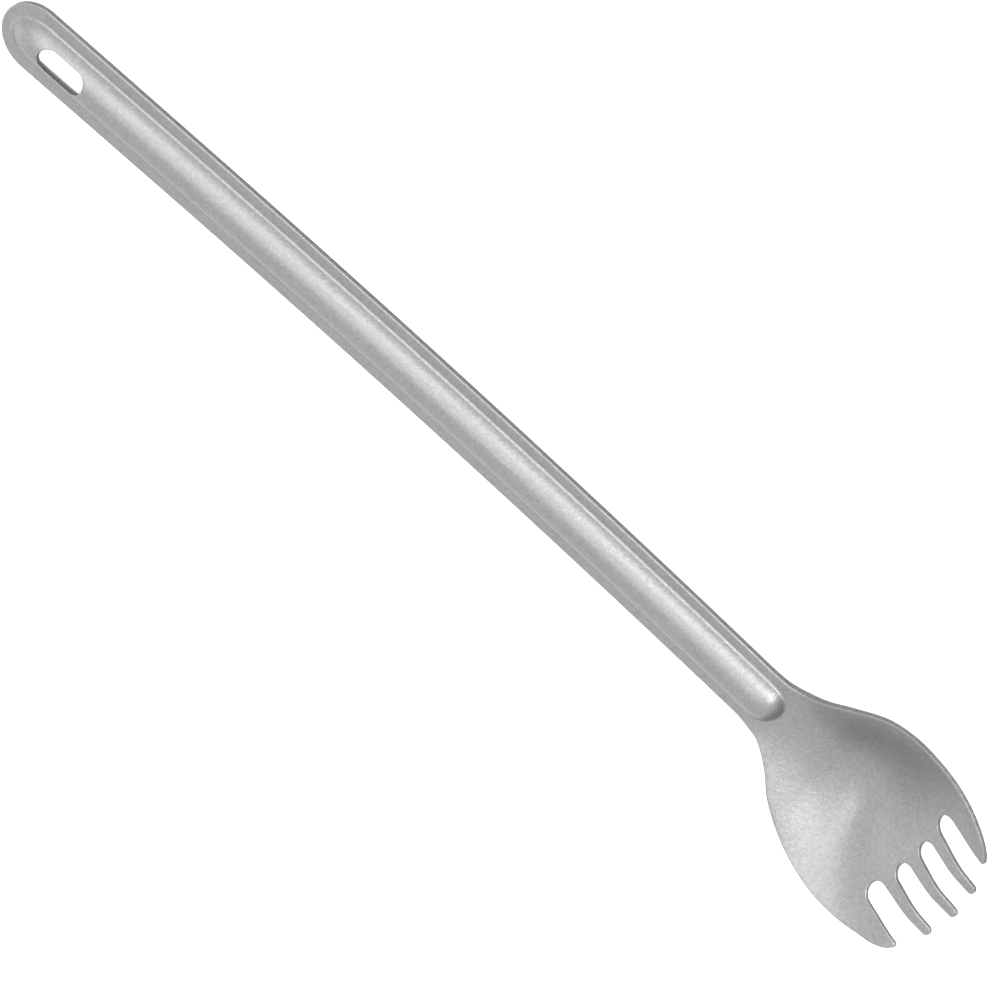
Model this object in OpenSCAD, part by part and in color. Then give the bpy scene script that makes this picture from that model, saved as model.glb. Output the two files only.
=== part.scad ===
// Long-handled spork, pressed from one piece of titanium sheet.
// The handle is stiffened by a raised bead, and the bowl ends in five tines.
// Lengths run from the handle's end (0) to the middle tine's tip, along +Y.
// The bowl opens up, +Z, and the table that the spork lies on is at zero height.

/* [Overall] */
// Length from the handle's end to the tip of the middle tine
overall_l = 218; // [190:1:240]

/* [Sheet] */
// Thickness of the sheet in the handle
handle_t = 1.2; // [1:0.05:1.4]
// Thickness where the sheet is drawn out in the bowl
bowl_t = 0.8; // [0.7:0.05:1.2]
// How much the sheet is thinned over the crown of the bead
crown_thinning = 0.2; // [0:0.05:0.35]
// Radius of the tumbled corners of the sheet's edge
edge_r = 0.25; // [0.1:0.05:0.3]

/* [Handle] */
// Width of the handle beside the hang slot
handle_end_w = 12.7; // [11.6:0.1:14]
// Width of the handle where it meets the neck
handle_neck_w = 11.8; // [11:0.1:13]
// Length of the handle's round end
end_round_l = 7; // [5:0.5:9]
// Distance from the handle's end to the place where it touches the table
handle_low_l = 40; // [30:1:80]
// Height of the handle's end over that place
end_lift = 0; // [0:0.05:3]
// Height of the neck over that place
neck_lift = 4.5; // [3:0.1:6]

/* [Bead] */
// Width of the raised bead at its foot
bead_w = 8.6; // [8:0.1:9.4]
// Height of the bead over the handle's flanges
bead_h = 2.6; // [2.2:0.1:3.2]
// Slope of the bead's flanks
bead_flank = 61; // [60:1:68]
// Fillet at the bead's foot, at the middle of the sheet
bead_foot_r = 1.2; // [1:0.05:1.5]
// Flat rim between the handle's end and the bead
bead_end_gap = 1.1; // [0.8:0.1:3]
// Length of the bead's sloping start at the handle's end
bead_ramp_l = 7.6; // [5:0.1:9]
// How far the bead runs on past the start of the bowl's flare
bead_reach_l = 5.6; // [4:0.1:7]

/* [Hang slot] */
// Width of the hang slot
slot_w = 4.5; // [3.5:0.1:4.8]
// Length of the hang slot over its round ends
slot_l = 9.7; // [6:0.1:14]
// Distance from the handle's end to the middle of the slot
slot_mid_l = 14.1; // [12:0.1:17]

/* [Bowl] */
// Length of the bowl with its flare and tines
bowl_l = 47.7; // [44:0.1:54]
// Width of the bowl, between the middles of its edges
bowl_w = 38.4; // [34:0.2:42]
// Greatest depth of the bowl below its rim
bowl_depth = 9.7; // [8:0.1:12]
// Rise of the rim from the neck to the tips
rim_rise = 10.3; // [8:0.1:13]

/* [Tines] */
// Length of the middle tine, from the roots of the slots beside it
tine_l = 11.7; // [9:0.1:14]
// Width of a slender tine at its root
tine_root_w = 2.7; // [2.2:0.05:3.2]
// Width of a slender tine at its tip
tine_tip_w = 1.8; // [1.4:0.05:2.2]
// Distance between the middles of the slender tines at their roots
tine_pitch = 6.6; // [6.2:0.05:7]
// How much closer the slender tines stand at their tips
tine_toe_in = 0.25; // [0:0.05:0.6]
// Distance from the middle line to the inner edge of an outer tine
outer_tine_x = 12.25; // [11.8:0.05:13]
// Radius of an outer tine's tip
outer_tip_r = 0.6; // [0.4:0.05:0.8]
// How far the tips of the second and fourth tines lie behind the middle one's
second_tip_back = 0.6; // [0:0.1:2]
// How far the outer tines' tips lie behind the middle one's
outer_tip_back = 2.5; // [2:0.1:4]
// How far the outer slots' roots lie behind the inner ones'
outer_root_back = 0.9; // [0:0.1:2]

/* [Hidden] */

titanium = "#a9a9a8";
cut_over = 5;                 // how far a cutter passes beyond the sheet
handle_l = overall_l - bowl_l;
end_half = handle_end_w / 2;
neck_half = handle_neck_w / 2;
bowl_half = bowl_w / 2;
neck_z = handle_t / 2 + neck_lift;

// Bead's cross-section: a crown arc, a straight flank and a foot fillet, tangent to each other
bead_half = bead_w / 2;
flank_spare = 1;
flank = min(bead_flank, 2 * atan(bead_h / bead_half) - flank_spare);   // a low, wide bead slopes less
crown_r = (bead_half - bead_h / tan(flank)) / tan(flank / 2) - bead_foot_r;
crown_edge = crown_r * sin(flank);
foot_edge = bead_half - bead_foot_r * sin(flank);
bead_from = bead_end_gap + bead_ramp_l;
bead_to = handle_l + bead_reach_l - bead_half;

// Stations of the bowl: share of its length, then of the growth to full width, of the rim's rise
// and of the depth, and how far its section is drawn from a round dish toward a steeper rim,
// or, below zero, toward a flatter one
station_shares = [
    [0.000, 0.000, 0.000, 0.000, 0.20],
    [0.060, 0.033, 0.043, 0.093, -0.05],
    [0.110, 0.089, 0.065, 0.118, -0.18],
    [0.190, 0.274, 0.179, 0.304, -0.18],
    [0.275, 0.554, 0.305, 0.577, -0.33],
    [0.380, 0.809, 0.372, 0.806, -0.52],
    [0.485, 0.945, 0.494, 0.970, -0.34],
    [0.595, 0.992, 0.641, 0.746, 0.39],
    [0.700, 0.962, 0.761, 0.415, 0.45],
    [0.800, 0.855, 0.872, 0.232, 0.40],
    [0.900, 0.663, 1.005, 0.201, 0.34],
    [1.000, 0.230, 1.000, 0.080, 0.00]
];
thinning_share = 1 / 3;       // part of the bowl's length over which the sheet thins

// Even steps from a, left out, to b
function steps(a, b, n) = [for (k = [1:n]) a + (b - a) * k / n];

// Smooth step from 0 to 1
function ease(u) =
    let (v = min(max(u, 0), 1))
    v * v * (3 - 2 * v);

// Steepness of column c of a table at row k
function table_slope(t, c, k) =
    let (a = max(k - 1, 0), b = min(k + 1, len(t) - 1))
    (t[b][c] - t[a][c]) / (t[b][0] - t[a][0]);

// Row of a table that starts the span holding u
function table_row(t, u, k = 0) = k >= len(t) - 2 || u < t[k + 1][0] ? k : table_row(t, u, k + 1);

// Smooth curve through column c of a table
function table_curve(t, c, u) =
    let (
        k = table_row(t, u),
        span = t[k + 1][0] - t[k][0],
        v = (u - t[k][0]) / span,
        rise = t[k + 1][c] - t[k][c],
        p = table_slope(t, c, k) * span,
        q = table_slope(t, c, k + 1) * span
    )
    t[k][c] + v * (p + v * (3 * rise - 2 * p - q + v * (p + q - 2 * rise)));

function bowl_share(s, c) = table_curve(station_shares, c, min((s - handle_l) / bowl_l, 1));

// Half width of the sheet at distance s from the handle's end
function half_width(s) =
    s < end_round_l ? end_half * sqrt(max(1 - pow(1 - s / end_round_l, 2), 0))
    : s < handle_l ? end_half + (neck_half - end_half) * (s - end_round_l) / (handle_l - end_round_l)
    : neck_half + (bowl_half - neck_half) * bowl_share(s, 1);

// Height of the flanges' middle plane along the handle, bowed in one gentle arc
function handle_z(s) =
    s < handle_low_l
        ? handle_t / 2 + end_lift * pow(1 - s / handle_low_l, 2)
        : handle_t / 2 + neck_lift * pow((s - handle_low_l) / (handle_l - handle_low_l), 2);

function rim_z(s) = s < handle_l ? handle_z(s) : neck_z + rim_rise * bowl_share(s, 2);

function floor_z(s) = s < handle_l ? handle_z(s) : rim_z(s) - bowl_depth * bowl_share(s, 3);

// Dish across the bowl: 0 on the middle line, 1 at the rim
function dish(s, u) =
    let (m = s < handle_l ? 0 : bowl_share(s, 4))
    u * u * (1 - m + m * u * u);

// Height of the bead at distance d from its middle line
function bead_section(d) =
    d < crown_edge ? bead_h - crown_r + sqrt(crown_r * crown_r - d * d)
    : d < foot_edge ? bead_h - crown_r + crown_r * cos(flank) - (d - crown_edge) * tan(flank)
    : d < bead_half ? bead_foot_r - sqrt(max(bead_foot_r * bead_foot_r - pow(bead_half - d, 2), 0))
    : 0;

// The bead has a sloping start and a round end
function bead_z(s, x) =
    let (
        before = max(bead_from - s, 0) * bead_half / bead_ramp_l,
        after = max(s - bead_to, 0)
    )
    bead_section(norm([x, before + after]));

function mid_surface(s, x) =
    let (u = abs(x) / max(half_width(s), edge_r))
    [x, s, floor_z(s) + (rim_z(s) - floor_z(s)) * dish(s, u) + bead_z(s, x)];

// Thickness of the sheet, which is drawn thinner in the bowl and over the bead
function sheet_t(s, x) =
    handle_t
    + (bowl_t - handle_t) * ease((s - handle_l) / (bowl_l * thinning_share))
    - crown_thinning * bead_z(s, x) / bead_h;

// Columns across half the sheet: over the bead they follow its crown, flank and foot
crown_n = 5;
foot_n = 3;
flange_n = 4;
bead_columns = concat(
    [for (k = [0:crown_n]) crown_r * sin(flank * k / crown_n)],
    [for (k = [1:foot_n]) bead_half - bead_foot_r * sin(flank * (1 - k / foot_n))]
);

function half_columns(s) =
    let (
        w = half_width(s),
        g = s < bead_to + bead_half ? min(1, w / neck_half) : w / neck_half
    )
    concat(bead_columns * g, steps(bead_half * g, w, flange_n));

function columns(s) =
    let (h = half_columns(s), n = len(h) - 1)
    concat([for (k = [n:-1:1]) -h[k]], h);

// Rings along the sheet, close together where the form turns quickly
end_n = 9;
ramp_n = 9;
handle_n = 14;
bead_end_n = 11;
bowl_n = 27;
nose_share = 0.06;            // of the end's quarter turn: a small flat that the first ring closes
bead_end_s = bead_to + bead_half;
ring_s = concat(
    [for (k = [0:end_n]) end_round_l * (1 - cos(90 * (nose_share + (1 - nose_share) * k / end_n)))],
    steps(end_round_l, bead_from + bead_half, ramp_n),
    steps(bead_from + bead_half, bead_to - edge_r, handle_n),
    steps(bead_to - edge_r, bead_end_s + edge_r, bead_end_n),
    steps(bead_end_s + edge_r, overall_l, bowl_n)
);
ring_n = len(ring_s);

// The rounding of the sheet's edge grows over the first rings at the handle's end
edge_start_n = 2;
function edge_round(j) = edge_r * min(j / edge_start_n, 1);

// Round the handle's end the faces' points keep inside the rounded edge, so they move along with it
inset_gain = 1.3;
function inset(j, x) =
    let (
        s = ring_s[j],
        w = half_width(s),
        flare = (half_width(s + edge_r) - w) / edge_r
    )
    s > end_round_l || abs(x) >= w ? 0
    : inset_gain * edge_round(j) * flare / norm([1, flare]) * pow(x / w, 2);

grid = [for (j = [0:ring_n - 1]) [for (x = columns(ring_s[j])) mid_surface(ring_s[j] + inset(j, x), x)]];
column_n = len(grid[0]);

function unit(v) = v / norm(v);

// Direction along the sheet, and the sheet's upward normal, at a place on the grid
function along(j, i) = unit(grid[min(j + 1, ring_n - 1)][i] - grid[max(j - 1, 0)][i]);

function across(j, i) = unit(grid[j][min(i + 1, column_n - 1)] - grid[j][max(i - 1, 0)]);

function upward(j, i) = unit(cross(across(j, i), along(j, i)));

// Rounded edge of the sheet, from its upper face to its lower, on side 1 or -1
edge_n = 6;
function edge_points(j, side) =
    let (
        i = side > 0 ? column_n - 1 : 0,
        up = upward(j, i),
        out = unit(cross(along(j, i), up)) * side,
        h = sheet_t(ring_s[j], grid[j][i][0]) / 2,
        r = edge_round(j),
        p = grid[j][i] - out * r
    )
    [
        p + up * h,
        p + up * (h - r) + (up + out) * r * sin(45),
        p + up * (h - r) + out * r,
        p - up * (h - r) + out * r,
        p - up * (h - r) + (out - up) * r * sin(45),
        p - up * h
    ];

function face_points(j, side) =
    [for (i = [1:column_n - 2])
        grid[j][i] + upward(j, i) * side * sheet_t(ring_s[j], grid[j][i][0]) / 2];

// One closed ring: upper face from right to left, left edge, lower face back, right edge
function ring(j) =
    let (
        left = edge_points(j, -1),
        right = edge_points(j, 1),
        upper = face_points(j, 1),
        lower = face_points(j, -1)
    )
    concat(
        [for (k = [len(upper) - 1:-1:0]) upper[k]],
        left,
        lower,
        [for (k = [edge_n - 1:-1:0]) right[k]]
    );

loop_n = 2 * (column_n - 2 + edge_n);

// Pairs of points that face each other through the sheet close its two ends
function cap(j, turned) =
    let (
        a = j * loop_n,
        left = [for (k = [0:edge_n - 1]) a + column_n - 2 + k],
        right = [for (k = [0:edge_n - 1]) a + loop_n - edge_n + k],
        upper = concat([right[edge_n - 1]], [for (k = [0:column_n - 2]) a + k]),
        lower = concat([right[0]], [for (k = [1:column_n - 1]) right[0] - k]),
        strips = [for (k = [0:column_n - 2], f = [[upper[k], upper[k + 1], lower[k + 1]],
            [upper[k], lower[k + 1], lower[k]]]) f],
        ends = [for (e = [left, right], k = [1:edge_n - 2]) [e[0], e[k], e[k + 1]]]
    )
    [for (f = concat(strips, ends)) turned ? [f[2], f[1], f[0]] : f];

// The pressed sheet before its slots are cut, as one skin over the rings
module pressed_sheet() {
    points = [for (j = [0:ring_n - 1], p = ring(j)) p];
    skin = [
        for (j = [0:ring_n - 2], k = [0:loop_n - 1])
            let (a = j * loop_n + k, b = j * loop_n + (k + 1) % loop_n)
            for (f = [[a, b, b + loop_n], [a, b + loop_n, a + loop_n]]) f
    ];
    polyhedron(points, concat(skin, cap(0, true), cap(ring_n - 1, false)));
}

// The tines rise in one plane from the slots' roots
root_s = overall_l - tine_l;
tine_tilt = atan((floor_z(overall_l) - floor_z(root_s)) / tine_l);
tine_reach = (tine_l - bowl_t / 2 * sin(tine_tilt)) / cos(tine_tilt);
root_half = tine_root_w / 2;
tip_half = tine_tip_w / 2;
tip_turn = 52;                // how far an outer tine's tip is rounded on toward the rim
slot_arc_n = 16;
tip_arc_n = 10;

function arc(c, r, a, b, n) = [for (k = [0:n]) c + r * [cos(a + (b - a) * k / n), sin(a + (b - a) * k / n)]];

// Round root, at y, of the gap between the edges at x0 and x1
function gap_root(y, x0, x1) =
    let (r = (x1 - x0) / 2)
    arc([(x0 + x1) / 2, y + r], r, 180, 360, slot_arc_n);

function slender_tip(x, y) = arc([x, y - tip_half], tip_half, 180, 0, tip_arc_n);

// Outline of what is cut away on the right of the middle line, as a comb
function half_comb() =
    let (
        outer_y = tine_reach - outer_tip_back / cos(tine_tilt),
        outer_c = [outer_tine_x + outer_tip_r, outer_y - outer_tip_r]
    )
    concat(
        arc([0, tine_reach - tip_half], tip_half, 90, 0, tip_arc_n / 2),
        gap_root(0, root_half, tine_pitch - root_half),
        slender_tip(tine_pitch - tine_toe_in, tine_reach - second_tip_back / cos(tine_tilt)),
        gap_root(-outer_root_back / cos(tine_tilt), tine_pitch + root_half, outer_tine_x),
        arc(outer_c, outer_tip_r, 180, 90 - tip_turn, tip_arc_n),
        [outer_c + (outer_tip_r + cut_over) * [sin(tip_turn), cos(tip_turn)]]
    );

module tine_gaps() {
    side = half_comb();
    n = len(side) - 1;
    far = tine_reach + 2 * cut_over;
    comb = concat(
        side,
        [[side[n][0], far], [-side[n][0], far]],
        [for (k = [n:-1:1]) [-side[k][0], side[k][1]]]
    );
    translate([0, root_s, floor_z(root_s)])
        rotate([tine_tilt, 0, 0])
            translate([0, 0, -cut_over])
                linear_extrude(height = 2 * cut_over)
                    polygon(comb);
}

// Round-ended slot for a carabiner or a cord, punched straight through the bead
module hang_slot() {
    top = handle_t + bead_h + end_lift + cut_over;
    straight = slot_l - slot_w;
    translate([0, slot_mid_l, -cut_over]) {
        translate([-slot_w / 2, -straight / 2, 0])
            cube([slot_w, straight, top + cut_over]);
        for (side = [-1, 1])
            translate([0, side * straight / 2, 0])
                cylinder(r = slot_w / 2, h = top + cut_over, $fn = 64);
    }
}

module spork() {
    color(titanium)
        translate([0, -overall_l / 2, 0])
            difference() {
                pressed_sheet();
                hang_slot();
                tine_gaps();
            }
}

spork();
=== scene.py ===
import math

import bpy
import numpy as np
from mathutils import Matrix, Vector
from mathutils.geometry import delaunay_2d_cdt


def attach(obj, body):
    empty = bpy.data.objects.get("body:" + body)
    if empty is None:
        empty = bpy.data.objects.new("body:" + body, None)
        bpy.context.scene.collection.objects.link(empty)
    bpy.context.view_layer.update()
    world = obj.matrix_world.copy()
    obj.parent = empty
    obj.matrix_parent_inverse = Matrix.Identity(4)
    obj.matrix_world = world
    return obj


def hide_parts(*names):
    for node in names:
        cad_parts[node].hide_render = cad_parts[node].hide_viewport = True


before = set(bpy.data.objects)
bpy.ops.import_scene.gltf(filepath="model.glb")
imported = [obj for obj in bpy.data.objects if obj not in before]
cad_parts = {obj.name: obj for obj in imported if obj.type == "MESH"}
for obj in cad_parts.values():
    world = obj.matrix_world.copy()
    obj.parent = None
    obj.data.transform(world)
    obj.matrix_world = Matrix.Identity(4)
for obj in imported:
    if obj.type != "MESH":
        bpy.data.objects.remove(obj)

mm = 0.001
degree = math.pi / 180
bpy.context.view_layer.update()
scene = bpy.context.scene
scene.view_settings.view_transform = "Standard"

# Camera: it looks down on the open bowl from over the handle's left edge, a little from the tines' end,
# with the handle running from the upper left corner of the picture to the lower right.
camera_distance = 568.9 * mm
camera_right = 1.16 * mm
camera_up = -10.69 * mm
camera_lean = -38.98 * degree
camera_nod = -3.43 * degree
camera_roll = 129.11 * degree
picture_angle = 16.73 * degree

camera = bpy.data.objects.new("camera", bpy.data.cameras.new("camera"))
camera.data.angle = picture_angle
camera_turn = (
    Matrix.Rotation(camera_nod, 4, "X")
    @ Matrix.Rotation(camera_lean, 4, "Y")
    @ Matrix.Rotation(camera_roll, 4, "Z")
)
camera_shift = Matrix.Translation((camera_right, camera_up, camera_distance))
camera.matrix_world = camera_turn @ camera_shift
scene.collection.objects.link(camera)
scene.camera = camera


# Floor and room: a white table top in a white room, as in a photographer's light tent. Both show as plain
# white to the camera and in the metal, and the table top keeps the spork's soft contact shadow.
floor_size = 6.0
floor_white = 0.8
floor_glow = 0.7
floor_sheen = 0.15
floor_gap = 0.05 * mm
room_light = 1.0


def link(tree, source, target):
    """Plugs a socket or a plain value into a socket of a node tree."""
    if isinstance(source, Field):
        source = source.socket
    if isinstance(source, bpy.types.NodeSocket):
        tree.links.new(source, target)
    else:
        target.default_value = source


class Field:
    """A value in a node tree. Arithmetic on it adds Math nodes, so formulas read as formulas."""

    def __init__(self, tree, socket):
        self.tree = tree
        self.socket = socket

    def math(self, operation, *values):
        node = self.tree.nodes.new("ShaderNodeMath")
        node.operation = operation
        for value, target in zip(values, node.inputs):
            link(self.tree, value, target)
        return Field(self.tree, node.outputs[0])

    def __add__(self, other):
        return self.math("ADD", self, other)

    def __sub__(self, other):
        return self.math("SUBTRACT", self, other)

    def __rsub__(self, other):
        return self.math("SUBTRACT", other, self)

    def __mul__(self, other):
        return self.math("MULTIPLY", self, other)

    def __truediv__(self, other):
        return self.math("DIVIDE", self, other)

    __radd__ = __add__
    __rmul__ = __mul__


def node_in(tree, kind, settings=None, **inputs):
    """Adds a node with its settings and its inputs, which are named as in the node, with _ for a space."""
    node = tree.nodes.new(kind)
    for name, value in (settings or {}).items():
        setattr(node, name, value)
    for name, value in inputs.items():
        link(tree, value, node.inputs[name.replace("_", " ")])
    return node


def white_for(tree, seen, reflected):
    """Glow of the white table top for the camera, and for what metal shows of it in a reflection."""
    rays = node_in(tree, "ShaderNodeLightPath")
    names = ("Is Camera Ray", "Is Glossy Ray", "Is Transmission Ray")
    sight, glossy, clear = (Field(tree, rays.outputs[name]) for name in names)
    return sight * seen + glossy.math("MAXIMUM", glossy, clear) * reflected


floor_paint = bpy.data.materials.new("white_table_top")
floor_paint.use_nodes = True
tree = floor_paint.node_tree
tree.nodes.clear()
diffuse = node_in(tree, "ShaderNodeBsdfDiffuse", Color=(floor_white, floor_white, floor_white, 1))
glow = node_in(tree, "ShaderNodeEmission", Strength=white_for(tree, floor_glow, floor_sheen))
both = node_in(tree, "ShaderNodeAddShader")
tree.links.new(diffuse.outputs[0], both.inputs[0])
tree.links.new(glow.outputs[0], both.inputs[1])
node_in(tree, "ShaderNodeOutputMaterial", Surface=both.outputs[0])

floor_mesh = bpy.data.meshes.new("table_top")
half_floor = floor_size / 2
floor_mesh.from_pydata(
    [(x * half_floor, y * half_floor, -floor_gap) for x, y in ((-1, -1), (1, -1), (1, 1), (-1, 1))],
    [],
    [(0, 1, 2, 3)],
)
floor_mesh.materials.append(floor_paint)
floor = bpy.data.objects.new("table_top", floor_mesh)
scene.collection.objects.link(floor)

world = bpy.data.worlds.new("white_room")
world.use_nodes = True
tree = world.node_tree
tree.nodes.clear()
background = node_in(tree, "ShaderNodeBackground", Color=(1, 1, 1, 1), Strength=room_light)
node_in(tree, "ShaderNodeOutputWorld", Surface=background.outputs[0])
scene.world = world


# Lamps: four softboxes. The wide one stands on the left, toward the tines' end, where it draws the bright
# band along the bead and the glow in the bowl. The weaker ones fill from the handle's end and from above.
lamp_distance = 1.2
lamp_depth = 0.5


def softbox(name, turn, height, power, width=lamp_depth):
    """A flat lamp aimed at the spork from a compass turn about +X and a height over the table."""
    lamp = bpy.data.objects.new(name, bpy.data.lights.new(name, "AREA"))
    lamp.data.shape = "RECTANGLE"
    lamp.data.size = width
    lamp.data.size_y = lamp_depth
    lamp.data.energy = power
    reach = math.cos(height)
    away = Vector((math.cos(turn) * reach, math.sin(turn) * reach, math.sin(height)))
    lamp.location = away * lamp_distance
    lamp.rotation_mode = "QUATERNION"
    lamp.rotation_quaternion = away.to_track_quat("Z", "Y")
    scene.collection.objects.link(lamp)


softbox("key_lamp", turn=150 * degree, height=42 * degree, power=7.2, width=1.0)
softbox("near_lamp", turn=212 * degree, height=52 * degree, power=1.4)
softbox("top_lamp", turn=240 * degree, height=78 * degree, power=1.2)
softbox("handle_lamp", turn=300 * degree, height=20 * degree, power=0.9, width=0.9)


# Spork: the whole object is one strip of titanium sheet. It is blanked with its hang slot and its tines,
# pressed to raise the bead along the handle and to dish the bowl, then sandblasted and tumbled, which
# rounds every edge.
length = 218 * mm
handle_thickness = 1.2 * mm
bowl_thickness = 0.8 * mm
crown_thinning = 0.2 * mm
edge_radius = 0.25 * mm
handle_end_width = 12.7 * mm
handle_neck_width = 11.8 * mm
end_round_length = 7 * mm
low_point = 40 * mm
neck_lift = 4.5 * mm
bead_width = 8.6 * mm
bead_height = 2.6 * mm
bead_flank = 61 * degree
bead_foot_radius = 1.2 * mm
bead_end_gap = 1.1 * mm
bead_ramp_length = 7.6 * mm
bead_reach = 5.6 * mm
slot_width = 4.5 * mm
slot_length = 9.7 * mm
slot_middle = 14.1 * mm
bowl_length = 47.7 * mm
bowl_width = 38.4 * mm
bowl_depth = 9.7 * mm
rim_rise = 10.3 * mm
tine_length = 11.7 * mm
tine_root_width = 2.7 * mm
tine_tip_width = 1.8 * mm
tine_pitch = 6.6 * mm
tine_toe_in = 0.25 * mm
outer_tine_x = 12.25 * mm
outer_tip_radius = 0.6 * mm
outer_tip_turn = 52 * degree
second_tip_back = 0.6 * mm
outer_tip_back = 2.5 * mm
outer_root_back = 0.9 * mm
handle_length = length - bowl_length

# Stations of the bowl: share of its length, then of the growth to full width, of the rim's rise and of
# the depth, and how far its section is drawn from a round dish toward a steeper rim, or, below zero,
# toward a flatter one.
WIDTH, RIM, DEPTH, STEEPNESS = 1, 2, 3, 4
station_shares = [
    (0.000, 0.000, 0.000, 0.000, 0.20),
    (0.060, 0.033, 0.043, 0.046, 0.15),
    (0.110, 0.089, 0.065, 0.109, 0.00),
    (0.190, 0.274, 0.179, 0.302, -0.18),
    (0.275, 0.554, 0.305, 0.516, -0.34),
    (0.380, 0.809, 0.372, 0.716, -0.42),
    (0.485, 0.945, 0.494, 0.905, -0.34),
    (0.595, 0.992, 0.641, 0.838, -0.17),
    (0.700, 0.962, 0.761, 0.492, 0.13),
    (0.800, 0.855, 0.872, 0.233, 0.39),
    (0.900, 0.663, 1.005, 0.201, 0.35),
    (1.000, 0.230, 1.000, 0.080, 0.00),
]

# The sheet spans the die's quick turns, so depth and steepness are averaged over this share of the bowl's
# length to each side of a place.
die_span = 0.075
die_span_parts = (-1, -0.5, 0, 0.5, 1)


def station_slope(column, row):
    """Slope of one column at a station, from its neighbours."""
    before = station_shares[max(row - 1, 0)]
    after = station_shares[min(row + 1, len(station_shares) - 1)]
    return (after[column] - before[column]) / (after[0] - before[0])


def station_line(column, share):
    """Smooth curve through one column of the stations."""
    row = max(k for k in range(len(station_shares) - 1) if k == 0 or station_shares[k][0] <= share)
    start, end = station_shares[row], station_shares[row + 1]
    span = end[0] - start[0]
    v = (share - start[0]) / span
    rise = end[column] - start[column]
    p = station_slope(column, row) * span
    q = station_slope(column, row + 1) * span
    return start[column] + v * (p + v * (3 * rise - 2 * p - q + v * (p + q - 2 * rise)))


def station(column, share):
    """Value of one column at a share of the bowl's length."""
    share = min(max(share, 0.0), 1.0)
    if column in (WIDTH, RIM):
        return station_line(column, share)
    span = min(die_span, share, 1 - share)
    return sum(station_line(column, share + span * part) for part in die_span_parts) / len(die_span_parts)


def half_width(s):
    """Half width of the blank at distance s from the handle's end."""
    end_half, neck_half = handle_end_width / 2, handle_neck_width / 2
    if s < end_round_length:
        return end_half * math.sqrt(max(1 - (1 - s / end_round_length) ** 2, 0))
    if s < handle_length:
        along = (s - end_round_length) / (handle_length - end_round_length)
        return end_half + (neck_half - end_half) * along
    return neck_half + (bowl_width / 2 - neck_half) * station(WIDTH, (s - handle_length) / bowl_length)


def dish(u, m):
    """Section across the bowl, 0 on the middle line and 1 at the rim; m draws it steeper at the rim."""
    return u * u * (1 - m + m * u * u)


def bowl_height(x, s):
    """Height of the bowl's sheet over the neck."""
    share = (s - handle_length) / bowl_length
    u = abs(x) / half_width(s)
    depth = bowl_depth * station(DEPTH, share)
    return rim_rise * station(RIM, share) - depth * (1 - dish(u, station(STEEPNESS, share)))


# The gaps between the tines are cut square to the plane in which the tines rise. Where a cut meets the
# dished sheet is found in a few steps.
root_s = length - tine_length
root_height = bowl_height(0, root_s)
tine_tilt = math.atan((bowl_height(0, length) - root_height) / tine_length)
tine_reach = (tine_length - bowl_thickness / 2 * math.sin(tine_tilt)) / math.cos(tine_tilt)
settling_steps = 8


def on_sheet(x, u):
    """Where a cut at u along the tines' plane meets the dished sheet, seen from above."""
    lean = 0.0
    for _ in range(settling_steps):
        s = root_s + u * math.cos(tine_tilt) - lean * math.sin(tine_tilt)
        plane_height = root_height + u * math.sin(tine_tilt) + lean * math.cos(tine_tilt)
        lean += (bowl_height(x, s) - plane_height) * math.cos(tine_tilt)
    return (x, s)


def arc(middle, radius, start, end, n):
    """Points round part of a circle, both ends included."""
    angles = [start + (end - start) * k / n for k in range(n + 1)]
    return [(middle[0] + radius * math.cos(a), middle[1] + radius * math.sin(a)) for a in angles]


def straight(a, b, n):
    """Points between a and b, both ends left out."""
    return [(a[0] + (b[0] - a[0]) * k / n, a[1] + (b[1] - a[1]) * k / n) for k in range(1, n)]


# Points round the tines' tips and gaps and the slot's ends, and along the straight sides between them
tip_round_n = 12
gap_round_n = 24
tine_side_n = 34
slot_round_n = 28
slot_side_n = 18


def comb_line():
    """The tines' edges on the right, from the middle tip to the outer one, in the tines' plane."""
    root_half, tip_half = tine_root_width / 2, tine_tip_width / 2
    back = 1 / math.cos(tine_tilt)
    gap_r = (tine_pitch - tine_root_width) / 2
    outer_gap_r = (outer_tine_x - tine_pitch - root_half) / 2
    outer_root = -outer_root_back * back
    outer_middle = (outer_tine_x + outer_tip_radius, tine_reach - outer_tip_back * back - outer_tip_radius)
    parts = [
        arc((0, tine_reach - tip_half), tip_half, 90 * degree, 0, tip_round_n // 2),
        arc((tine_pitch / 2, gap_r), gap_r, 180 * degree, 360 * degree, gap_round_n),
        arc(
            (tine_pitch - tine_toe_in, tine_reach - second_tip_back * back - tip_half),
            tip_half, 180 * degree, 0, tip_round_n,
        ),
        arc(
            (outer_tine_x - outer_gap_r, outer_root + outer_gap_r),
            outer_gap_r, 180 * degree, 360 * degree, gap_round_n,
        ),
        arc(outer_middle, outer_tip_radius, 180 * degree, 90 * degree - outer_tip_turn, tip_round_n),
    ]
    line = []
    for part in parts:
        if line:
            line += straight(line[-1], part[0], tine_side_n)
        line += part
    return line


# Where the form turns quickly, near the slot and at the neck, the rows of the mesh lie closer together.
slot_zone_end = 22 * mm
neck_zone_start = handle_length - 6 * mm
neck_zone_end = handle_length + bead_reach + 2 * mm
slot_row, neck_row, bowl_row, handle_row = 0.3 * mm, 0.25 * mm, 0.4 * mm, 1.1 * mm


def row_step(s):
    """Distance from one row of the mesh to the next."""
    if s < slot_zone_end:
        return slot_row
    if neck_zone_start < s < neck_zone_end:
        return neck_row
    if s > handle_length:
        return bowl_row
    return handle_row


# Points round a quarter of the handle's end, and how near the last one of the side comes to the tines'
end_round_n = 40
closest_points = 0.15 * mm


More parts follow.
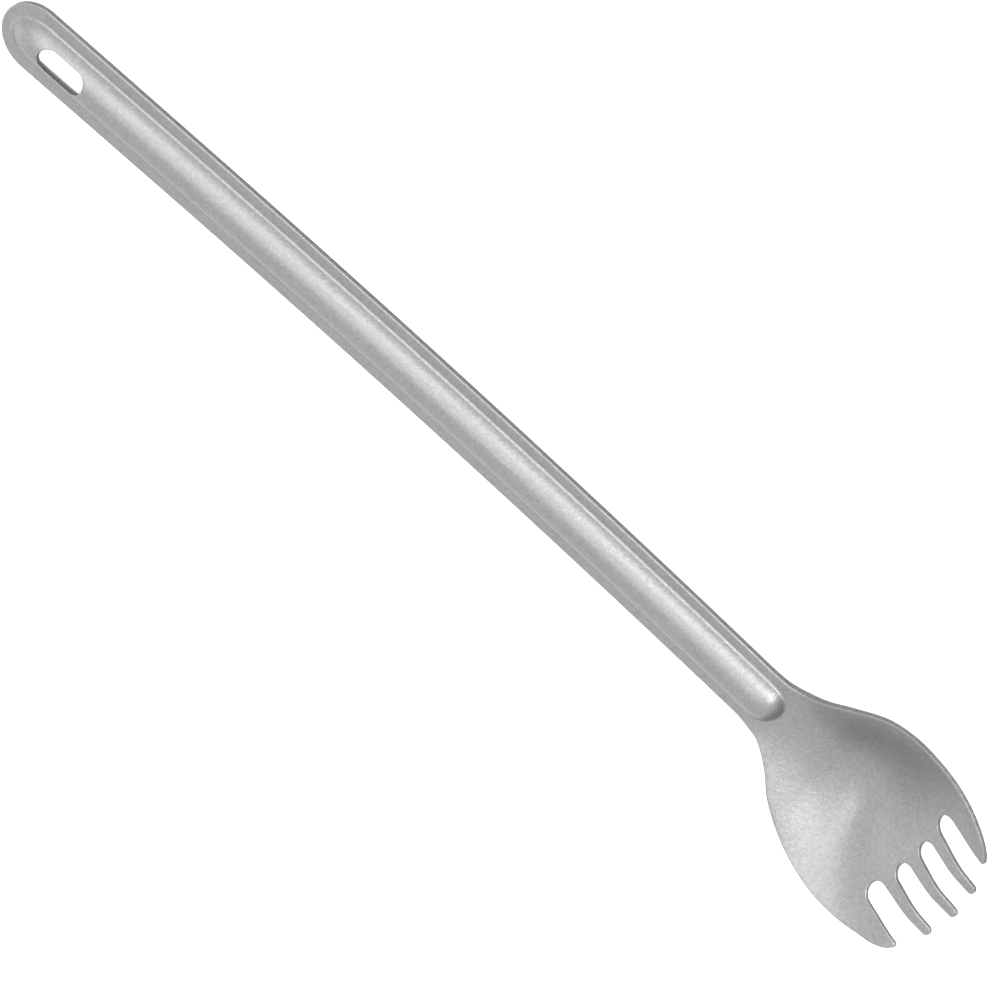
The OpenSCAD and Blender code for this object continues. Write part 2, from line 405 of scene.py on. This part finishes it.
def outline():
    """The blank's outer edge, counterclockwise from the handle's end."""
    quarter = [90 * degree * k / end_round_n for k in range(end_round_n)]
    end_half = handle_end_width / 2
    right = [(end_half * math.sin(a), end_round_length * (1 - math.cos(a))) for a in quarter]
    tines = [on_sheet(*point) for point in comb_line()]
    while tines[-1][0] > half_width(tines[-1][1]):
        tines.pop()
    s = end_round_length
    while s < tines[-1][1] - closest_points:
        right.append((half_width(s), s))
        s += row_step(s)
    right += reversed(tines)
    left = [(-x, y) for x, y in right[-2:0:-1]]
    return right + left


def slot_line():
    """The hang slot's edge, clockwise, so that the sheet lies on the same hand as along the outline."""
    half = (slot_length - slot_width) / 2
    radius = slot_width / 2
    far = arc((0, slot_middle + half), radius, 180 * degree, 0, slot_round_n)
    near = arc((0, slot_middle - half), radius, 0, -180 * degree, slot_round_n)
    right = straight(far[-1], near[0], slot_side_n)
    left = straight(near[-1], far[0], slot_side_n)
    return far + right + near + left


def edge_normals(line):
    """Directions square to a closed line, away from the sheet."""
    along = np.roll(line, -1, axis=0) - np.roll(line, 1, axis=0)
    along /= np.linalg.norm(along, axis=1)[:, None]
    return np.stack([along[:, 1], -along[:, 0]], axis=1)


def inside(points, line):
    """Whether each point lies inside a closed line."""
    result = np.zeros(len(points), bool)
    for (x0, y0), (x1, y1) in zip(line, np.roll(line, -1, axis=0)):
        if y0 != y1:
            spans = (points[:, 1] < y0) != (points[:, 1] < y1)
            result ^= spans & (points[:, 0] < x0 + (points[:, 1] - y0) * (x1 - x0) / (y1 - y0))
    return result


def nearest(points, line):
    """Distance from each point to the points of a line."""
    result = np.full(len(points), np.inf)
    for corner in line:
        result = np.minimum(result, np.hypot(points[:, 0] - corner[0], points[:, 1] - corner[1]))
    return result


# Columns of the mesh over the bead's crown, its foot and the flange. They run on to the end of the bead.
# Points stay clear of the blank's edges by a share of the distance between rows.
crown_n, foot_n, flange_n = 14, 6, 12
column_zone_end = handle_length + bead_reach + 1 * mm
edge_clearance = 0.6


def filling(lines):
    """Points that fill the blank: columns follow the bead's crown, flank, foot and flange."""
    flat_half = bead_width / 2 - bead_height / math.tan(bead_flank)
    crown_r = flat_half / math.tan(bead_flank / 2) - bead_foot_radius
    columns = [crown_r * math.sin(bead_flank * k / crown_n) for k in range(crown_n + 1)]
    foot = [bead_foot_radius * math.sin(bead_flank * (1 - k / foot_n)) for k in range(foot_n + 1)]
    columns += [bead_width / 2 - f for f in foot]
    flange = handle_end_width / 2 - bead_width / 2
    columns += [bead_width / 2 + flange * k / flange_n for k in range(1, flange_n + 1)]
    bowl_columns = list(np.arange(0, bowl_width / 2, bowl_row))
    points = []
    s = row_step(0)
    while s < length:
        across = columns if s < column_zone_end else bowl_columns
        reach = half_width(s)
        if handle_length < s < column_zone_end:
            across = across + list(np.arange(columns[-1] + bowl_row, reach, bowl_row))
        points += [(x, s) for x in across if x < reach]
        points += [(-x, s) for x in across[1:] if x < reach]
        s += row_step(s)
    points = np.array(points)
    rows = np.array([min(row_step(s), bowl_row) for s in points[:, 1]])
    room = rows * edge_clearance + edge_radius
    clear = inside(points, lines[0]) & ~inside(points, lines[1])
    for line in lines:
        clear &= nearest(points, line) > room
    return points[clear]


# Rings of the mesh round half of an edge
edge_round_n = 4
# Points of the triangulation that are closer than this become one. It works in millimetres.
weld_gap = 1e-5


def edge_profile():
    """The tumbled rounding, from the upper face to the lower: distance out from the blank's line, height,
    share of tumbled corner, which peaks halfway round where the painted highlight line goes, and share of
    sheared wall, which carries painted shade."""
    half_t = handle_thickness / 2
    quarter = [90 * degree * k / edge_round_n for k in range(1, edge_round_n + 1)]
    upper = [
        (
            edge_radius * (math.sin(a) - 1),
            half_t - edge_radius * (1 - math.cos(a)),
            math.sin(2 * a),
            max(math.sin(a) * 2 - 1, 0.0) ** 2,
        )
        for a in quarter
    ]
    return upper + [(out, -z, rounded, sheared) for out, z, rounded, sheared in reversed(upper)]


def flat_face(rims, inner):
    """Triangles over the blank's flat face: their points, the triangles, and the points along each rim."""
    counts = [len(rim) for rim in rims]
    starts = [0, counts[0]]
    edges = []
    for start, count in zip(starts, counts):
        edges += [(start + k, start + (k + 1) % count) for k in range(count)]
    flat = [Vector(point) for point in np.concatenate(rims + [inner]) / mm]
    verts, _, faces, origins, _, _ = delaunay_2d_cdt(flat, edges, [], 0, weld_gap)
    plan = np.array([tuple(v) for v in verts]) * mm
    faces = np.array(faces)
    middles = plan[faces].mean(axis=1)
    faces = faces[inside(middles, rims[0]) & ~inside(middles, rims[1])]
    a, b, c = (plan[faces[:, k]] for k in range(3))
    turn = (b[:, 0] - a[:, 0]) * (c[:, 1] - a[:, 1]) - (b[:, 1] - a[:, 1]) * (c[:, 0] - a[:, 0])
    faces = np.where(turn[:, None] > 0, faces, faces[:, ::-1])
    new_index = {origin: new for new, group in enumerate(origins) for origin in group}
    return plan, faces, [[new_index[start + k] for k in range(n)] for start, n in zip(starts, counts)]


def blank_mesh():
    """The flat blank: two faces of triangles, joined round every edge by the tumbled rounding."""
    lines = [np.array(line) for line in (outline(), slot_line())]
    normals = [edge_normals(line) for line in lines]
    rims = [line - normal * edge_radius for line, normal in zip(lines, normals)]
    plan, faces, tops = flat_face(rims, filling(lines))
    half_t = handle_thickness / 2
    n = len(plan)
    points = [np.column_stack([plan, np.full(n, z)]) for z in (half_t, -half_t)]
    rounded_share = [np.zeros(2 * n)]
    sheared_share = [np.zeros(2 * n)]
    quads = []
    total = 2 * n
    for line, normal, top in zip(lines, normals, tops):
        count = len(line)
        rings = [top]
        for out, z, rounded, sheared in edge_profile():
            points.append(np.column_stack([line + normal * out, np.full(count, z)]))
            rounded_share.append(np.full(count, rounded))
            sheared_share.append(np.full(count, sheared))
            rings.append(range(total, total + count))
            total += count
        rings.append([k + n for k in top])
        for upper, lower in zip(rings, rings[1:]):
            for k in range(count):
                after = (k + 1) % count
                quads.append((upper[k], lower[k], lower[after], upper[after]))
    points = np.concatenate(points)
    points[:, 1] -= length / 2
    mesh = bpy.data.meshes.new("blank")
    mesh.from_pydata(points.tolist(), [], faces.tolist() + (faces[:, ::-1] + n).tolist() + quads)
    # These shares place a painted highlight on the tumbled corners and painted shade on the sheared walls
    # in the finish.
    for name, shares in (("tumbled_edge", rounded_share), ("sheared_edge", sheared_share)):
        attribute = mesh.attributes.new(name, "FLOAT", "POINT")
        attribute.data.foreach_set("value", np.concatenate(shares))
    return mesh


# The press: a node tree that lifts the flat blank to its form. Its inputs are the sizes of the press tool.
# It also leaves a fine line along the bead's foot, and the slot's punch cuts straight down.
press_line_x = 3.95 * mm
press_line_width = 0.16 * mm
press_line_depth = 0.035 * mm
press_line_start = 9 * mm
press_line_end = 168 * mm
press_line_fade = 5 * mm
punch_reach = 1.0 * mm
press_sizes = {
    "Length": length,
    "Sheet Thickness": handle_thickness,
    "Bowl Thickness": bowl_thickness,
    "Crown Thinning": crown_thinning,
    "Neck Width": handle_neck_width,
    "Low Point": low_point,
    "Neck Lift": neck_lift,
    "Bead Width": bead_width,
    "Bead Height": bead_height,
    "Bead Flank": bead_flank,
    "Bead Foot Radius": bead_foot_radius,
    "Bead End Gap": bead_end_gap,
    "Bead Ramp Length": bead_ramp_length,
    "Bead Reach": bead_reach,
    "Slot Width": slot_width,
    "Slot Length": slot_length,
    "Slot Middle": slot_middle,
    "Punch Reach": punch_reach,
    "Bowl Length": bowl_length,
    "Bowl Width": bowl_width,
    "Bowl Depth": bowl_depth,
    "Rim Rise": rim_rise,
    "Press Line Place": press_line_x,
    "Press Line Width": press_line_width,
    "Press Line Depth": press_line_depth,
    "Press Line Start": press_line_start,
    "Press Line End": press_line_end,
    "Press Line Fade": press_line_fade,
}


def larger(a, b):
    """The larger of two fields."""
    return a.math("MAXIMUM", a, b)


def smaller(a, b):
    """The smaller of two fields."""
    return a.math("MINIMUM", a, b)


def square_root(a):
    """Square root of a field."""
    return a.math("SQRT", a)


def magnitude(a):
    """A field without its sign."""
    return a.math("ABSOLUTE", a)


def where(low, high, a, b):
    """a where low is under high, and b elsewhere."""
    under = low.math("LESS_THAN", low, high)
    return a * under + b * (1 - under)


def ease(a):
    """A soft step from 0 to 1."""
    v = smaller(larger(a, 0.0), 1.0)
    return v * v * (3 - 2 * v)


# Steps of a station curve along the bowl
curve_point_n = 32


def station_curve(column, share):
    """The stations' smooth curve as a Float Curve node."""
    node = node_in(share.tree, "ShaderNodeFloatCurve", Value=share)
    node.mapping.use_clip = False
    points = node.mapping.curves[0].points
    for k in range(1, curve_point_n):
        points.new(k / curve_point_n, station(column, k / curve_point_n))
    points[0].location = (0, station(column, 0))
    points[-1].location = (1, station(column, 1))
    node.mapping.update()
    return Field(share.tree, node.outputs[0])


def tree_with_inputs(name, places, results):
    """A node tree with the press sizes among its inputs: the tree, its inputs by name, its output node."""
    tree = bpy.data.node_groups.new(name, "GeometryNodeTree")
    for socket, kind in places:
        tree.interface.new_socket(socket, in_out="INPUT", socket_type=kind)
    for size, value in press_sizes.items():
        socket = tree.interface.new_socket(size, in_out="INPUT", socket_type="NodeSocketFloat")
        socket.default_value = value
    for socket, kind in results:
        tree.interface.new_socket(socket, in_out="OUTPUT", socket_type=kind)
    given = tree.nodes.new("NodeGroupInput")
    return tree, {s.name: Field(tree, s) for s in given.outputs}, tree.nodes.new("NodeGroupOutput")


# The sheet is down to the bowl's thickness at one part in this many of the bowl's length.
thinning_rate = 3


def sheet_height_tree():
    """Height of the sheet's middle at x and s, how much of its thickness is left there, and the depth of
    the fine line that the press leaves along the bead's foot."""
    places = [("X", "NodeSocketFloat"), ("S", "NodeSocketFloat")]
    results = [(name, "NodeSocketFloat") for name in ("Height", "Thickness Share", "Groove")]
    tree, size, result = tree_with_inputs("Sheet Height", places, results)
    x, s = magnitude(size["X"]), size["S"]
    handle_l = size["Length"] - size["Bowl Length"]
    low = size["Low Point"]

    neck_bow = larger((smaller(s, handle_l) - low) / (handle_l - low), 0.0)
    bow = size["Neck Lift"] * neck_bow * neck_bow

    share = smaller(larger((s - handle_l) / size["Bowl Length"], 0.0), 1.0)
    neck_half = size["Neck Width"] * 0.5
    reach = neck_half + (size["Bowl Width"] * 0.5 - neck_half) * station_curve(WIDTH, share)
    depth = size["Bowl Depth"] * station_curve(DEPTH, share)
    section = dish(x / reach, station_curve(STEEPNESS, share))
    bowl = size["Rim Rise"] * station_curve(RIM, share) - depth * (1 - section)

    bead_half = size["Bead Width"] * 0.5
    height, flank, foot_r = size["Bead Height"], size["Bead Flank"], size["Bead Foot Radius"]
    steep = flank.math("TANGENT", flank)
    crown_r = (bead_half - height / steep) / flank.math("TANGENT", flank * 0.5) - foot_r
    sine = flank.math("SINE", flank)
    crown_edge = crown_r * sine
    before = larger(size["Bead End Gap"] + size["Bead Ramp Length"] - s, 0.0)
    before = before * bead_half / size["Bead Ramp Length"]
    after = larger(s - (handle_l + size["Bead Reach"] - bead_half), 0.0)
    along = before + after
    d = square_root(x * x + along * along)
    crown = height - crown_r + square_root(crown_r * crown_r - d * d)
    slope = height - crown_r + crown_r * flank.math("COSINE", flank) - (d - crown_edge) * steep
    left = larger(bead_half - d, 0.0)
    foot = foot_r - square_root(foot_r * foot_r - left * left)
    bead = where(d, crown_edge, crown, where(d, bead_half - foot_r * sine, slope, foot))

    off_line = (x - size["Press Line Place"]) / size["Press Line Width"]
    groove = larger(1 - off_line * off_line, 0.0)
    fade = size["Press Line Fade"]
    groove = groove * groove * ease((s - size["Press Line Start"]) / fade)
    groove = groove * ease((size["Press Line End"] - s) / fade) * size["Press Line Depth"]
    link(tree, groove, result.inputs["Groove"])

    link(tree, size["Sheet Thickness"] * 0.5 + bow + bowl + bead, result.inputs["Height"])
    drawn = ease((s - handle_l) / size["Bowl Length"] * thinning_rate)
    thinner = (size["Sheet Thickness"] - size["Bowl Thickness"]) * drawn
    thinner = thinner + size["Crown Thinning"] * bead / height
    link(tree, 1 - thinner / size["Sheet Thickness"], result.inputs["Thickness Share"])
    return tree


# The sheet's slope is taken between places this far to each side.
slope_probe = 0.04 * mm


def press_tree(finish):
    """Moves every point of the blank to the pressed sheet: its height off the blank's middle becomes
    distance along the sheet's normal, and along the punch's upright travel beside the hang slot."""
    geometry = [("Blank", "NodeSocketGeometry")]
    tree, size, result = tree_with_inputs("Press", geometry, [("Spork", "NodeSocketGeometry")])
    point = node_in(tree, "GeometryNodeInputPosition").outputs[0]
    place = node_in(tree, "ShaderNodeSeparateXYZ", Vector=point)
    x, y, lift = (Field(tree, socket) for socket in place.outputs)
    s = y + size["Length"] * 0.5
    height_tree = sheet_height_tree()

    def sheet(x, s, output="Height"):
        node = node_in(tree, "GeometryNodeGroup", {"node_tree": height_tree}, X=x, S=s)
        for name in press_sizes:
            link(tree, size[name], node.inputs[name])
        return Field(tree, node.outputs[output])

    slope_x = (sheet(x + slope_probe, s) - sheet(x - slope_probe, s)) / (2 * slope_probe)
    slope_y = (sheet(x, s + slope_probe) - sheet(x, s - slope_probe)) / (2 * slope_probe)
    stretch = square_root(slope_x * slope_x + slope_y * slope_y + 1)
    past_middle = magnitude(s - size["Slot Middle"]) - (size["Slot Length"] - size["Slot Width"]) * 0.5
    past_middle = larger(past_middle, 0.0)
    from_slot = square_root(x * x + past_middle * past_middle) - size["Slot Width"] * 0.5
    square = ease(from_slot / size["Punch Reach"])
    upper_face = lift.math("GREATER_THAN", lift, 0.0)
    lift = lift * sheet(x, s, "Thickness Share") - sheet(x, s, "Groove") * upper_face
    across = lift * square / stretch
    upward = lift * (square / stretch + (1 - square) * stretch)
    moved_x, moved_y = x - slope_x * across, y - slope_y * across
    moved = node_in(tree, "ShaderNodeCombineXYZ", X=moved_x, Y=moved_y, Z=sheet(x, s) + upward)
    pressed = node_in(tree, "GeometryNodeSetPosition", Geometry=size["Blank"], Position=moved.outputs[0])
    smooth = node_in(tree, "GeometryNodeSetShadeSmooth", Geometry=pressed.outputs[0])
    whole = node_in(tree, "GeometryNodeRealizeInstances", Geometry=smooth.outputs[0])
    finished = node_in(tree, "GeometryNodeSetMaterial", Geometry=whole.outputs[0], Material=finish)
    link(tree, finished.outputs[0], result.inputs["Spork"])
    return tree


# The finish: sandblasted titanium is a neutral grey with a dense fine grain and soft clouding. Its sheared
# edge walls get painted shade, tumbling leaves their corners smoother with a painted highlight along them,
# and use leaves faint hairlines.
titanium_grey = 0.37
titanium_warmth = 0.99
titanium_roughness = 0.42
# Size of each mark and how many octaves of finer noise it has, and its depth
grain_size, grain_detail = 0.24 * mm, 2
pit_size, pit_detail = 0.75 * mm, 3
clouding_size, clouding_detail = 9 * mm, 2
hairline_gap, hairline_detail = 0.5 * mm, 1
hairline_stretch = 0.02
hairline_start, hairline_fade = 0.66, 0.05
grain_depth, pit_depth, hairline_depth = 0.03 * mm, 0.04 * mm, 0.004 * mm
tumbled_smoothing = 0.6
# How far each mark lightens or darkens the grey, as a share of it
grain_shade, pit_shade, clouding_shade = 0.7, 0.35, 0.07
# The lightening of the tumbled corners is a painted highlight, and the darkening of the sheared walls is
# painted shade.
tumbled_painted_highlight, hairline_shine, sheared_painted_shade = 0.12, 0.03, 0.42
# How far each mark roughens or smooths the metal
grain_roughness, clouding_roughness, sheared_roughness = 0.12, 0.1, 0.06
tumbled_polish, hairline_polish = 0.1, 0.08

titanium = bpy.data.materials.new("sandblasted_titanium")
titanium.use_nodes = True
tree = titanium.node_tree
metal = tree.nodes["Principled BSDF"]
metal.inputs["Metallic"].default_value = 1.0
place = node_in(tree, "ShaderNodeTexCoord").outputs["Object"]


def grain(size, detail, along=1.0):
    """Noise from 0 to 1 with grains of one size, drawn out along the handle where along is below 1."""
    spread = node_in(tree, "ShaderNodeMapping", Vector=place, Scale=(1, along, 1))
    noise = node_in(tree, "ShaderNodeTexNoise", Vector=spread.outputs[0], Scale=1 / size, Detail=detail)
    return Field(tree, noise.outputs[0])


def edge_share(name):
    """An attribute of the blank: how far a point lies on the tumbled corner or on the sheared wall."""
    return Field(tree, node_in(tree, "ShaderNodeAttribute", {"attribute_name": name}).outputs["Fac"])


fine = grain(grain_size, grain_detail) - 0.5
pits = grain(pit_size, pit_detail) - 0.5
clouds = grain(clouding_size, clouding_detail) - 0.5
streaks = grain(hairline_gap, hairline_detail, hairline_stretch)
hairlines = ease((streaks - hairline_start) / hairline_fade)
tumbled, sheared = edge_share("tumbled_edge"), edge_share("sheared_edge")

blasted = fine * grain_shade + pits * pit_shade + clouds * clouding_shade
# Painted highlight on the tumbled corners and painted shade on the sheared walls; only the hairlines'
# lightening is wear.
hairlines_and_painted_edge_light = tumbled * tumbled_painted_highlight + hairlines * hairline_shine - sheared * sheared_painted_shade
grey = titanium_grey * (1 + blasted + hairlines_and_painted_edge_light)
colour = node_in(tree, "ShaderNodeCombineColor", Red=grey, Green=grey, Blue=grey * titanium_warmth)
rougher = fine * grain_roughness + clouds * clouding_roughness + sheared * sheared_roughness
smoother = tumbled * tumbled_polish + hairlines * hairline_polish
relief = fine * grain_depth + pits * pit_depth - hairlines * hairline_depth
relief = relief * (1 - tumbled * tumbled_smoothing)
bump = node_in(tree, "ShaderNodeBump", Height=relief, Distance=1.0)
link(tree, colour.outputs[0], metal.inputs["Base Color"])
link(tree, titanium_roughness + rougher - smoother, metal.inputs["Roughness"])
link(tree, bump.outputs[0], metal.inputs["Normal"])

# The blank goes through the press once, and what comes out is kept as the spork's plain mesh.
blank = bpy.data.objects.new("blank", blank_mesh())
scene.collection.objects.link(blank)
press = blank.modifiers.new("press", "NODES")
press.node_group = press_tree(titanium)
for item in press.node_group.interface.items_tree:
    if item.name in press_sizes:
        press[item.identifier] = press_sizes[item.name]
pressed = blank.evaluated_get(bpy.context.evaluated_depsgraph_get())
spork_mesh = bpy.data.meshes.new_from_object(pressed)
spork_mesh.name = "pressed_spork"
spork = bpy.data.objects.new("pressed_spork", spork_mesh)
scene.collection.objects.link(spork)
bpy.data.objects.remove(blank)
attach(spork, "root")
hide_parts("spork")
